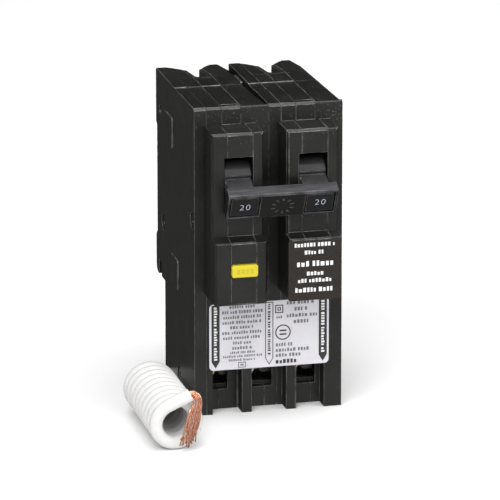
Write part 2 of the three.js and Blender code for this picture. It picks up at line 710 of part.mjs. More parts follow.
for (const [side, pole] of [['left', 0], ['right', POLE]]) {
  addCase(side, pole);
  addHandle(side, pole);
  addLineSide(side, pole);
  addContactArm(side, pole);
  addCradle(side, pole);
  addToggleSpring(side, pole);
  addTripUnit(side, pole);
  addBraid(side, pole);
}
addHandleTie();
addTestButton();
addLabels();
addRivets();
addTripBar();
addSolenoid();
addCircuitBoard();
addTransformer();
addLineStrap();
TERMINALS.forEach(addTerminal);
addLead();

export default model;
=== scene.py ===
"""The looks of a two-pole ground-fault circuit breaker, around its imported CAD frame.

Metres, +Z up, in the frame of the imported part: the breaker stands on its load end and its
operating face looks along -Y. Sizes below are in millimetres and are turned into metres by mm().
"""

import json
import math
import random

import bmesh
import bpy
from mathutils import Matrix, Vector


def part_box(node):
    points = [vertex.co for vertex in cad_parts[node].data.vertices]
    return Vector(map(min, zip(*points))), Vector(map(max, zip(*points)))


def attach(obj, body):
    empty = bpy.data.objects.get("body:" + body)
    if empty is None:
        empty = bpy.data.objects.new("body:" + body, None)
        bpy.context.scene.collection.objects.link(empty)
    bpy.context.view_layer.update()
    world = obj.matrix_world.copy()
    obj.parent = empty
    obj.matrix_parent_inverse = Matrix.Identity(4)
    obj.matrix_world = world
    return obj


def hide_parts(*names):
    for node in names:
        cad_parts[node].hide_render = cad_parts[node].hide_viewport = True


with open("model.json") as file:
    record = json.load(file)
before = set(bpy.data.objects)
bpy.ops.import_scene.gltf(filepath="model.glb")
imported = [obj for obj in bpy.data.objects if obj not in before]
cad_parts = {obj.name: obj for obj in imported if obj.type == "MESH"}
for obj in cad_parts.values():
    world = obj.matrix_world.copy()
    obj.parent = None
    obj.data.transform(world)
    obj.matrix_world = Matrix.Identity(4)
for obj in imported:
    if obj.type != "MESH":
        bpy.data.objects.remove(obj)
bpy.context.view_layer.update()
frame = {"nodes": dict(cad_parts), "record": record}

nodes = frame["nodes"]


def mm(*values):
    """Millimetres as metres: one number, or a vector of three."""
    scaled = [value / 1000 for value in values]
    return scaled[0] if len(scaled) == 1 else Vector(scaled)


# ---- Places taken from the frame ------------------------------------------------------------

CASE_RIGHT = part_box("right_base")[1].x
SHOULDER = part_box("left_outer_cover")[0].y
LABEL_LOW, LABEL_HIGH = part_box("ratings_label")
STICKER_LOW, STICKER_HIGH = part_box("rating_sticker")
BUTTON_LOW, BUTTON_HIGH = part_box("test_button")


def at(x, y, z):
    """A point in millimetres from the case's lower left front corner, at the shoulder."""
    return Vector((-CASE_RIGHT, SHOULDER, 0)) + mm(x, y, z)


# ---- Camera -----------------------------------------------------------------------------------

CAMERA_AZIMUTH = math.radians(13.6)
CAMERA_ELEVATION = math.radians(16.24)
CAMERA_DISTANCE = 1.674
CAMERA_LENS = 358.6


def add_camera():
    """A long lens, a little to the left of the front and above it."""
    level = math.cos(CAMERA_ELEVATION)
    back = Vector((
        -math.sin(CAMERA_AZIMUTH) * level,
        -math.cos(CAMERA_AZIMUTH) * level,
        math.sin(CAMERA_ELEVATION),
    ))
    right = Vector((math.cos(CAMERA_AZIMUTH), -math.sin(CAMERA_AZIMUTH), 0))
    up = back.cross(right)
    aim = at(25.4, 10, 52) - right * mm(3.803) + up * mm(1.503)
    data = bpy.data.cameras.new("camera")
    data.lens = CAMERA_LENS
    data.sensor_width = 36
    data.clip_start = 0.05
    data.clip_end = 20
    camera = bpy.data.objects.new("camera", data)
    camera.matrix_world = Matrix((
        (right.x, up.x, back.x, 0),
        (right.y, up.y, back.y, 0),
        (right.z, up.z, back.z, 0),
        (0, 0, 0, 1),
    ))
    camera.location = aim + back * CAMERA_DISTANCE
    bpy.context.scene.collection.objects.link(camera)
    bpy.context.scene.camera = camera


# ---- Materials --------------------------------------------------------------------------------


class Finish:
    """A Principled material with short helpers for its procedural nodes."""

    def __init__(self, name, color, roughness, **sockets):
        self.material = bpy.data.materials.new(name)
        self.material.use_nodes = True
        self.tree = self.material.node_tree
        self.shader = self.tree.nodes["Principled BSDF"]
        self.set("Base Color", (*color, 1))
        self.set("Roughness", roughness)
        for socket, value in sockets.items():
            self.set(socket.replace("_", " "), value)

    def set(self, socket, value):
        self.shader.inputs[socket].default_value = value

    def node(self, kind, **values):
        made = self.tree.nodes.new(kind)
        for key, value in values.items():
            setattr(made, key, value)
        return made

    def link(self, source, target):
        self.tree.links.new(source, target)

    def coordinates(self, stretch=(1, 1, 1)):
        """Object coordinates in metres, optionally stretched."""
        place = self.node("ShaderNodeTexCoord")
        mapping = self.node("ShaderNodeMapping")
        mapping.inputs["Scale"].default_value = stretch
        self.link(place.outputs["Object"], mapping.inputs["Vector"])
        return mapping.outputs["Vector"]

    def noise(self, size, detail=3, stretch=(1, 1, 1), seed=0.0):
        """Noise whose features are about size millimetres across."""
        made = self.node("ShaderNodeTexNoise", noise_dimensions="4D")
        made.inputs["W"].default_value = seed
        made.inputs["Scale"].default_value = 1000 / size
        made.inputs["Detail"].default_value = detail
        self.link(self.coordinates(stretch), made.inputs["Vector"])
        return made.outputs["Fac"]

    def spread(self, source, low, high, low_out=0.0, high_out=1.0):
        """Maps source from low..high to low_out..high_out, held at both ends."""
        made = self.node("ShaderNodeMapRange")
        made.inputs["From Min"].default_value = low
        made.inputs["From Max"].default_value = high
        made.inputs["To Min"].default_value = low_out
        made.inputs["To Max"].default_value = high_out
        self.link(source, made.inputs["Value"])
        return made.outputs["Result"]

    def mix(self, share, first, second):
        """A colour between two others; each is a colour or a socket."""
        made = self.node("ShaderNodeMix", data_type="RGBA")
        self.link(share, made.inputs[0])
        for index, value in ((6, first), (7, second)):
            if isinstance(value, tuple):
                made.inputs[index].default_value = (*value, 1)
            else:
                self.link(value, made.inputs[index])
        return made.outputs[2]

    def above(self, source, other, share):
        """The source plus a share of the other."""
        made = self.node("ShaderNodeMath", operation="MULTIPLY_ADD")
        self.link(other, made.inputs[0])
        made.inputs[1].default_value = share
        self.link(source, made.inputs[2])
        return made.outputs[0]

    def along(self, kind, axis, low, high):
        """How far a point lies (Object) or a face looks (Normal) along an axis, from low to high."""
        place = self.node("ShaderNodeTexCoord")
        parts = self.node("ShaderNodeSeparateXYZ")
        self.link(place.outputs[kind], parts.inputs[0])
        return self.spread(parts.outputs[axis], low, high)

    def color(self, source):
        self.link(source, self.shader.inputs["Base Color"])

    def roughness(self, source, low, high, low_out, high_out):
        self.link(self.spread(source, low, high, low_out, high_out), self.shader.inputs["Roughness"])

    def bump(self, *layers):
        """Stacks bumps; each layer is (height socket, depth in millimetres)."""
        normal = None
        for height, depth in layers:
            made = self.node("ShaderNodeBump")
            made.inputs["Strength"].default_value = 1
            made.inputs["Distance"].default_value = mm(depth)
            self.link(height, made.inputs["Height"])
            if normal is not None:
                self.link(normal, made.inputs["Normal"])
            normal = made.outputs["Normal"]
        self.link(normal, self.shader.inputs["Normal"])


def case_plastic():
    """Fine-grained black thermoset, with rubbed patches, hairline scratches and dust near the top."""
    made = Finish("case_plastic", (0.010, 0.010, 0.010), 0.4)
    clouds = made.noise(14, 4)
    rubbed = made.mix(made.spread(clouds, 0.4, 0.7), (0.0078, 0.0078, 0.0064), (0.0135, 0.0135, 0.0115))
    shoulder = made.along("Object", "Z", 0.093, 0.099)
    specks = made.above(made.noise(0.45, 2, seed=3), shoulder, 0.065)
    patchy = made.above(specks, made.noise(7, 2, seed=8), 0.06)
    made.color(made.mix(made.spread(patchy, 0.735, 0.80), rubbed, (0.13, 0.13, 0.13)))
    made.roughness(clouds, 0.3, 0.75, 0.30, 0.44)
    grain = made.noise(0.22, 2)
    scratch = made.spread(made.noise(0.5, 2, stretch=(1, 1, 0.04), seed=5), 0.64, 0.7)
    made.bump((grain, 0.006), (scratch, 0.01))
    return made.material


def worn_and_highlit_edge(name, rubbed, bare):
    """An edge of black plastic shown as a broken pale line: partly rubbed by handling, partly a painted edge
    highlight.
    """
    made = Finish(name, rubbed, 0.45)
    rub_and_highlight = made.above(made.noise(3.2, 3), made.noise(0.5, 2, seed=2), 0.5)
    # The pale colour on the bevel faces is partly rubbed plastic and partly painted edge highlight.
    made.color(made.mix(made.spread(rub_and_highlight, 0.60, 0.95), bare, rubbed))
    made.bump((made.noise(0.3, 2), 0.006))
    return made.material


DRUM_REACH = 15.5  # how far the handles' drums stand in front of the shoulder


def handle_plastic():
    """Smooth black moulding with a little dust; the drum that turns in its slot is paler as a painted
    highlight, and the neck in front of it is darker as painted shade.
    """
    made = Finish("handle_plastic", (0.011, 0.011, 0.012), 0.3)
    clouds = made.noise(9, 3)
    # Painted highlight on the drum within DRUM_REACH of the shoulder, and painted shade (near black) on the
    # neck in front of it.
    drum = made.along("Object", "Y", SHOULDER - mm(DRUM_REACH + 1.5), SHOULDER - mm(DRUM_REACH))
    pale = made.mix(made.spread(clouds, 0.4, 0.7), (0.020, 0.020, 0.021), (0.030, 0.030, 0.031))
    smooth = made.mix(drum, (0.005, 0.005, 0.005), pale)
    specks = made.spread(made.noise(0.4, 2, seed=4), 0.72, 0.78)
    made.color(made.mix(specks, smooth, (0.09, 0.09, 0.085)))
    made.roughness(clouds, 0.3, 0.75, 0.28, 0.4)
    made.bump((made.noise(0.3, 2), 0.004))
    return made.material


def tie_plastic():
    """Black moulding whose up-facing faces are paler in streaks along its length: partly scuffs, partly
    painted highlight from the light overhead.
    """
    made = Finish("tie_plastic", (0.011, 0.011, 0.012), 0.38, Specular_IOR_Level=0.32)
    streaks = made.noise(0.55, 4, stretch=(0.07, 1, 1))
    scuffs_and_top_highlight = made.mix(made.spread(streaks, 0.40, 0.68), (0.009, 0.0088, 0.010), (0.047, 0.045, 0.053))
    specks = made.spread(made.noise(0.4, 2, seed=6), 0.70, 0.76)
    black = made.mix(specks, (0.007, 0.007, 0.006), (0.05, 0.05, 0.045))
    # Up-facing faces take the pale streaks: partly scuffs, partly painted highlight.
    made.color(made.mix(made.along("Normal", "Z", 0.7, 0.8), black, scuffs_and_top_highlight))
    made.bump((streaks, 0.012))
    return made.material


def button_plastic(name, shade):
    """Yellow moulding; a shade below 1 darkens it as painted shade, which gives the raised mark its shaded
    copy.
    """
    dark, light = (0.56 * shade, 0.47 * shade, 0.010), (0.64 * shade, 0.54 * shade, 0.018)
    made = Finish(name, light, 0.4)
    clouds = made.noise(3, 3)
    made.color(made.mix(clouds, dark, light))
    made.roughness(clouds, 0.3, 0.7, 0.3, 0.42)
    made.bump((made.noise(0.25, 2), 0.004))
    return made.material


def label_film():
    """Printed white film with a faint lilac cast and a little soil."""
    made = Finish("label_white", (0.64, 0.63, 0.67), 0.4)
    soil = made.spread(made.noise(8, 4), 0.35, 0.75)
    made.color(made.mix(soil, (0.66, 0.65, 0.69), (0.59, 0.58, 0.61)))
    made.roughness(made.noise(2, 3), 0.3, 0.7, 0.35, 0.5)
    made.bump((made.noise(0.4, 3), 0.003))
    return made.material


def dark_film():
    """Glossy film printed in a warm black."""
    made = Finish("label_dark", (0.016, 0.012, 0.009), 0.3)
    clouds = made.noise(5, 3)
    made.color(made.mix(clouds, (0.013, 0.010, 0.008), (0.022, 0.017, 0.013)))
    made.roughness(clouds, 0.3, 0.7, 0.22, 0.34)
    made.bump((made.noise(0.6, 2), 0.002))
    return made.material


def ink(name, color):
    """Ink that is a little worn in places."""
    made = Finish(name, color, 0.5)
    worn = tuple(min(1, channel * 1.25 + 0.01) for channel in color)
    made.color(made.mix(made.spread(made.noise(0.3, 3), 0.45, 0.75), color, worn))
    return made.material


def insulation():
    """Smooth white insulation."""
    made = Finish("wire_white", (0.70, 0.695, 0.685), 0.42)
    clouds = made.noise(5, 3)
    made.color(made.mix(made.spread(clouds, 0.35, 0.75), (0.72, 0.715, 0.705), (0.67, 0.665, 0.655)))
    made.roughness(clouds, 0.3, 0.7, 0.32, 0.45)
    made.bump((made.noise(0.8, 2), 0.006))
    return made.material


def metal(name, bright, dull, roughness):
    """Bare metal that runs from bright to dull in fine clouds."""
    made = Finish(name, bright, roughness, Metallic=1.0)
    clouds = made.noise(0.6, 4)
    made.color(made.mix(made.spread(clouds, 0.35, 0.7), bright, dull))
    made.roughness(clouds, 0.3, 0.7, roughness * 0.8, roughness * 1.3)
    made.bump((clouds, 0.004))
    return made.material


def fibre():
    """Red-brown vulcanised fibre, with its threads along X."""
    made = Finish("fibre", (0.16, 0.07, 0.04), 0.7)
    threads = made.noise(0.5, 4, stretch=(0.1, 1, 1))
    made.color(made.mix(threads, (0.12, 0.05, 0.03), (0.22, 0.11, 0.06)))
    made.bump((threads, 0.01))
    return made.material


def laminate():
    """Green circuit board."""
    made = Finish("board_laminate", (0.02, 0.12, 0.05), 0.4)
    weave = made.noise(0.6, 3)
    made.color(made.mix(weave, (0.01, 0.09, 0.035), (0.03, 0.17, 0.07)))
    made.bump((weave, 0.005))
    return made.material


def winding_tape():
    """Amber tape round a winding."""
    made = Finish("winding_tape", (0.30, 0.17, 0.03), 0.35)
    wraps = made.noise(1.5, 3, stretch=(1, 1, 3))
    made.color(made.mix(wraps, (0.22, 0.11, 0.02), (0.38, 0.22, 0.05)))
    made.bump((wraps, 0.02))
    return made.material


MATERIALS = {
    "case_plastic": case_plastic(),
    "handle_plastic": handle_plastic(),
    "button_yellow": button_plastic("button_yellow", 1.0),
    "label_white": label_film(),
    "label_dark": dark_film(),
    "bare_copper": metal("bare_copper", (0.98, 0.60, 0.44), (0.62, 0.26, 0.16), 0.15),
    "terminal_brass": metal("terminal_brass", (0.80, 0.58, 0.27), (0.55, 0.37, 0.15), 0.3),
    "plated_steel": metal("plated_steel", (0.62, 0.62, 0.63), (0.42, 0.41, 0.40), 0.32),
    "blackened_steel": metal("blackened_steel", (0.10, 0.095, 0.09), (0.045, 0.043, 0.04), 0.38),
    "tinned_copper": metal("tinned_copper", (0.72, 0.71, 0.68), (0.5, 0.49, 0.46), 0.34),
    "contact_silver": metal("contact_silver", (0.85, 0.84, 0.80), (0.6, 0.58, 0.55), 0.25),
    "fibre": fibre(),
    "board_laminate": laminate(),
    "winding_tape": winding_tape(),
    "wire_white": insulation(),
}
TIE_PLASTIC = tie_plastic()
# The raised mark's yellow, darkened as painted shade.
BUTTON_RELIEF_SHADED = button_plastic("button_relief_shaded", 0.82)
DULL_COPPER = metal("dull_copper", (0.36, 0.14, 0.08), (0.16, 0.055, 0.03), 0.3)
# Pale bevel-face materials: partly rubbed plastic, partly painted edge highlight.
WORN_AND_HIGHLIT_EDGES = {
    "case_plastic": worn_and_highlit_edge("case_edge", (0.21, 0.208, 0.205), (0.027, 0.027, 0.027)),
    "handle_plastic": worn_and_highlit_edge("handle_edge", (0.08, 0.077, 0.085), (0.015, 0.015, 0.016)),
}
INK_DARK = ink("ink_dark", (0.025, 0.024, 0.026))
INK_GREY = ink("ink_grey", (0.15, 0.15, 0.165))
INK_WHITE = ink("ink_white", (0.72, 0.72, 0.72))
INK_BLUISH = ink("ink_bluish", (0.46, 0.50, 0.62))
DASHES = ink("dashes", (0.085, 0.083, 0.082))

# ---- Mesh helpers -----------------------------------------------------------------------------


def new_piece(name, mesh, material, body):
    """A finished piece that rides on a CAD body."""
    piece = bpy.data.objects.new(name, mesh)
    bpy.context.scene.collection.objects.link(piece)
    mesh.materials.clear()
    mesh.materials.append(material)
    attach(piece, body)
    return piece


def add_box(shape, low, high, place=Matrix.Identity(4)):
    """Adds a box between two corners to a bmesh."""
    size = high - low
    middle = place @ Matrix.Translation((low + high) / 2) @ Matrix.Diagonal((*size, 1))
    bmesh.ops.create_cube(shape, size=1, matrix=middle)


def add_plate(shape, outline, front, back):
    """Adds a flat plate with the given (x, z) outline between two depths."""
    near = [shape.verts.new((x, front, z)) for x, z in outline]
    far = [shape.verts.new((x, back, z)) for x, z in outline]
    shape.faces.new(near)
    shape.faces.new(list(reversed(far)))
    count = len(outline)
    for i in range(count):
        j = (i + 1) % count
        shape.faces.new((near[j], near[i], far[i], far[j]))


def mesh_of(shape, name):
    """Turns a bmesh into a mesh, and frees it."""
    bmesh.ops.recalc_face_normals(shape, faces=shape.faces)
    mesh = bpy.data.meshes.new(name)
    shape.to_mesh(mesh)
    shape.free()
    return mesh


DEFAULT_BEVEL = 0.1
BEVELS = {
    "case_plastic": 0.12,
    "handle_plastic": 0.3,
    "button_yellow": 0.45,
}
EDGE_ANGLE = 30
BASE_EDGE_ANGLE = 60  # leaves the base layers' shallow roof flanks alone, which would bevel into slivers
CLAMPED_NODES = ("left_spacer",)  # clamping hides most bevels, but this layer's thin steps need it


def finish_node(name):
    """Softens a CAD node's edges without touching its mesh, and gives it its materials."""
    piece = nodes[name]
    slot = material_slot(name)
    weld = piece.modifiers.new("weld", "WELD")
    weld.merge_threshold = mm(0.004)
    flat = piece.modifiers.new("flat_faces", "DECIMATE")
    flat.decimate_type = "DISSOLVE"
    flat.angle_limit = math.radians(1)
    soft = piece.modifiers.new("soft_edges", "BEVEL")
    soft.width = mm(BEVELS.get(slot, DEFAULT_BEVEL))
    soft.segments = 2
    soft.limit_method = "ANGLE"
    soft.angle_limit = math.radians(BASE_EDGE_ANGLE if name.endswith("_base") else EDGE_ANGLE)
    soft.harden_normals = False
    soft.use_clamp_overlap = name in CLAMPED_NODES
    # Bevel faces take the pale edge material, partly rubbed plastic and partly painted edge highlight.
    soft.material = 1 if slot in WORN_AND_HIGHLIT_EDGES else -1
    smooth = piece.modifiers.new("shading", "WEIGHTED_NORMAL")
    smooth.keep_sharp = True
    for polygon in piece.data.polygons:
        polygon.use_smooth = True
    piece.data.materials.clear()
    piece.data.materials.append(TIE_PLASTIC if name == "handle_tie" else MATERIALS[slot])
    if slot in WORN_AND_HIGHLIT_EDGES:
        piece.data.materials.append(WORN_AND_HIGHLIT_EDGES[slot])


def material_slot(name):
    for row in frame["record"]["subparts"]:
        if row["node"] == name:
            return row["material_slot"]
    raise KeyError(name)


# ---- The white lead ---------------------------------------------------------------------------

WIRE = 4.4  # insulated diameter
COIL_RADIUS = 7.05
COIL_PITCH = 4.45
COIL_TURNS = 9 + 156 / 360
COIL_CENTRE = (-13.7, 9.25)
COIL_FRONT = -33.9
COIL_END = math.radians(114)
TAIL_ANGLE = math.radians(24)
TAIL_LENGTH = 7.9
LEAD_EXIT = (38, 3.0)
LEAD_BEND = 8.5
LEAD_TURN = math.radians(115)
POINTS_PER_TURN = 32


def lead_points():
    """Out of the left side, down to the ground and round in an S to the back of the coil."""
    back = COIL_FRONT + COIL_TURNS * COIL_PITCH
    rise = 1 - math.cos(LEAD_TURN)
    run = (LEAD_EXIT[0] - back - 2 * LEAD_BEND * rise) / math.sin(LEAD_TURN)
    start = COIL_CENTRE[0] + 2 * LEAD_BEND * math.sin(LEAD_TURN) + run * math.cos(LEAD_TURN)
    steps = 12
    flat = [(2.0, LEAD_EXIT[0]), (0, LEAD_EXIT[0])]
    for i in range(steps + 1):
        turned = LEAD_TURN * i / steps
        flat.append((start - LEAD_BEND * math.sin(turned), LEAD_EXIT[0] - LEAD_BEND * (1 - math.cos(turned))))
    for i in range(steps, 0, -1):
        left = LEAD_TURN * i / steps
        flat.append((COIL_CENTRE[0] + LEAD_BEND * math.sin(left), back + LEAD_BEND * (1 - math.cos(left))))
    ground = COIL_CENTRE[1] - COIL_RADIUS
    points = []
    for i, (x, y) in enumerate(flat):
        share = min(1, max(0, (i - 1) / 10))
        points.append(at(x, y, LEAD_EXIT[1] + (ground - LEAD_EXIT[1]) * share))
    return points


def coil_points():
    """From the bottom of the last turn forward to the top of the first one."""
    count = round(COIL_TURNS * POINTS_PER_TURN)
    points = []
    for i in range(count + 1):
        share = 1 - i / count
        angle = COIL_END + share * COIL_TURNS * 2 * math.pi
        x = COIL_CENTRE[0] + COIL_RADIUS * math.cos(angle)
        z = COIL_CENTRE[1] + COIL_RADIUS * math.sin(angle)
        points.append(at(x, COIL_FRONT + share * COIL_TURNS * COIL_PITCH, z))
    return points


def tail_start():
    x = COIL_CENTRE[0] - COIL_RADIUS * math.sin(TAIL_ANGLE)
    return at(x, COIL_FRONT, COIL_CENTRE[1] + COIL_RADIUS * math.cos(TAIL_ANGLE))


def tail_direction():
    return Vector((math.cos(TAIL_ANGLE), 0, math.sin(TAIL_ANGLE)))


def add_lead():
    tail = [tail_start() + tail_direction() * mm(TAIL_LENGTH * i / 4) for i in range(1, 5)]
    points = lead_points() + coil_points() + tail
    data = bpy.data.curves.new("pigtail_wire", "CURVE")
    data.dimensions = "3D"
    data.bevel_depth = mm(WIRE / 2)
    data.bevel_resolution = 6
    data.use_fill_caps = True
    spline = data.splines.new("POLY")
    spline.points.add(len(points) - 1)
    for target, point in zip(spline.points, points):
        target.co = (*point, 1)
    spline.use_smooth = True
    wire = bpy.data.objects.new("pigtail_wire", data)
    bpy.context.scene.collection.objects.link(wire)
    data.materials.append(MATERIALS["wire_white"])
    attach(wire, "case")
    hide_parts("pigtail_lead", "pigtail_coil", "pigtail_tail")
    return wire


STRAND = 0.44
DULL_STRANDS = (0, 2, 3, 4, 7, 11, 15)
# How far round the fan each strand lies: a tight group on the left and a loose one on the right.
STRANDS = [-1 + 0.1 * k for k in range(5)] + [-0.28 + 0.107 * k for k in range(13)]
# Right, forward and up from the end of the insulation, for the left, middle and right strands.
STRAND_FAN = (
    (
        (0.2, 0.1, -1.3), (0.5, 0.4, -2.0), (0.6, 0.8, -3.4),
        (-0.6, 1.6, -6.4), (-2.3, 2.4, -10.6), (-4.0, 2.8, -15.0),
    ),
    (
        (1.0, 0.1, 0.25), (1.7, 0.5, -0.8), (1.9, 1.0, -2.9),
        (1.1, 1.8, -6.1), (-0.4, 2.5, -10.4), (-1.7, 2.8, -16.0),
    ),
    (
        (1.7, 0.1, 0.95), (3.3, 0.5, -0.5), (3.75, 1.0, -2.7),
        (3.2, 1.8, -6.2), (2.4, 2.4, -9.8), (1.4, 2.8, -13.6),
    ),
)


def strand_knots(fan, depth, end):
    """One strand's knots; fan runs from -1 at the left to 1 at the right."""
    left, middle, right = STRAND_FAN
    side = right if fan > 0 else left
    lift = Vector((-math.sin(TAIL_ANGLE), 0, math.cos(TAIL_ANGLE)))
    root = end + lift * mm(0.95 * fan) - Vector((0, mm(depth), 0))
    knots = [root - tail_direction() * mm(1.2), root + tail_direction() * mm(0.3)]
    for i, (inner, outer) in enumerate(zip(middle, side)):
        x, forward, up = (a + (b - a) * abs(fan) for a, b in zip(inner, outer))
        loose = 0.09 * i
        knots.append(end + mm(
            x + random.uniform(-loose, loose),
            -forward - depth * (1 - 0.1 * i),
            up + (random.uniform(-1.6, 1.2) if i == len(middle) - 1 else 0),
        ))
    return knots


def ripple(path, phase):
    """The slight wave a strand keeps from its lay in the wire."""
    for i, point in enumerate(path):
        swing = 0.04 * min(1, i / 8) * math.sin(i * 1.35 + phase)
        point.x += mm(swing)
        point.y += mm(0.6 * swing)
    return path


def smooth_path(points, steps):
    """Points along a Catmull-Rom curve through the given ones."""
    ends = [2 * points[0] - points[1], *points, 2 * points[-1] - points[-2]]
    path = []
    for a, b, c, d in zip(ends, ends[1:], ends[2:], ends[3:]):
        for i in range(steps):
            t = i / steps
            path.append(0.5 * (
                2 * b + (c - a) * t + (2 * a - 5 * b + 4 * c - d) * t ** 2 + (3 * b - a - 3 * c + d) * t ** 3
            ))
    path.append(points[-1])
    return path


def add_tube(shape, path, radius):
    """Sweeps a closed round tube along a path into a bmesh."""
    sides = 8
    side = Vector((0, 1, 0))
    rings = []
    for i, point in enumerate(path):
        along = (path[min(i + 1, len(path) - 1)] - path[max(i - 1, 0)]).normalized()
        side = (side - along * side.dot(along)).normalized()
        other = along.cross(side)
        ring = []
        for k in range(sides):
            turn = 2 * math.pi * k / sides
            ring.append(shape.verts.new(point + (side * math.cos(turn) + other * math.sin(turn)) * radius))
        rings.append(ring)
    for near, far in zip(rings, rings[1:]):
        for k in range(sides):
            shape.faces.new((near[k], near[(k + 1) % sides], far[(k + 1) % sides], far[k]))
    shape.faces.new(rings[0])
    shape.faces.new(list(reversed(rings[-1])))


def add_strands():
    """The stripped end: fine copper wires that bend over and fan out as they hang."""
    random.seed(7)
    end = tail_start() + tail_direction() * mm(TAIL_LENGTH)
    shape = bmesh.new()
    for k, fan in enumerate(STRANDS):
        row = k % 3
        depth = (-0.62, 0.5, 0.0)[row] * math.sqrt(1 - 0.7 * fan * fan)
        path = smooth_path(strand_knots(fan, depth, end), 7)
        first = len(shape.faces)
        add_tube(shape, ripple(path, random.uniform(0, 6.3)), mm(STRAND / 2))
        shape.faces.ensure_lookup_table()
        for face in shape.faces[first:]:
            face.material_index = int(k in DULL_STRANDS)
    mesh = mesh_of(shape, "pigtail_copper")
    for polygon in mesh.polygons:
        polygon.use_smooth = True
    strands = new_piece("pigtail_copper", mesh, MATERIALS["bare_copper"], "case")
    mesh.materials.append(DULL_COPPER)
    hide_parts("pigtail_strands")
    return strands


# ---- Printing ---------------------------------------------------------------------------------

PRINT = 0.02  # how far the ink stands over its film
INTO_FILM = 0.02  # how far it reaches into it


class Print:
    """Flat printing over one film: shapes in millimetres right of and below its top left corner."""

    def __init__(self, low, high):
        self.shape = bmesh.new()
        self.left, self.top = low.x, high.z
        self.front = low.y - mm(PRINT)
        self.back = low.y + mm(INTO_FILM)

    def outline(self, points):
        placed = [(self.left + mm(x), self.top - mm(down)) for x, down in points]
        add_plate(self.shape, placed, self.front, self.back)

    def bar(self, x0, x1, down0, down1):
        self.outline([(x0, down0), (x0, down1), (x1, down1), (x1, down0)])

    def line(self, middle, down, width, height, upright=False):
        """A greeked line: blocks the size of letters, with gaps between words."""
        place = -width / 2
        word = random.randint(3, 7)
        while place < width / 2 - 0.3 * height:
            block = min(height * random.uniform(0.35, 0.6), width / 2 - place)
            low = 0.42 * height
            top = low if random.random() < 0.5 else low * random.uniform(0.45, 0.8)
            if upright:
                self.bar(middle - low, middle + top, down + place, down + place + block)
            else:
                self.bar(middle + place, middle + place + block, down - top, down + low)
            place += block + height * 0.23
            word -= 1
            if word == 0:
                place += height * 0.35
                word = random.randint(3, 7)

    def frame(self, x0, x1, down0, down1, thick):
        self.bar(x0, x1, down0, down0 + thick)
        self.bar(x0, x1, down1 - thick, down1)
        self.bar(x0, x0 + thick, down0 + thick, down1 - thick)
        self.bar(x1 - thick, x1, down0 + thick, down1 - thick)

    def ring(self, x, down, radius, thick):
        steps = 40
        for i in range(steps):
            a, b = (2 * math.pi * k / steps for k in (i, i + 1))
            self.outline([
                (x + (radius - thick) * math.cos(a), down + (radius - thick) * math.sin(a)),
                (x + radius * math.cos(a), down + radius * math.sin(a)),
                (x + radius * math.cos(b), down + radius * math.sin(b)),
                (x + (radius - thick) * math.cos(b), down + (radius - thick) * math.sin(b)),
            ])

    def done(self, name, material):
        bmesh.ops.remove_doubles(self.shape, verts=self.shape.verts, dist=mm(0.001))
        return new_piece(name, mesh_of(self.shape, name), material, "case")


# The three arrows that run down the ratings label: solid ones at the sides, an open one between.
SIDE_ARROWS = (0.75, 37.8)
ARROW_WIDTH = 2.8
ARROW_TOP = 0.4
ARROW_POINT = 22.4
ARROW_SHOULDER = ARROW_POINT - 2.3
OPEN_ARROW = 19.25
ARROW_WORDS = 10.3  # how far down the middle of an arrow's words is


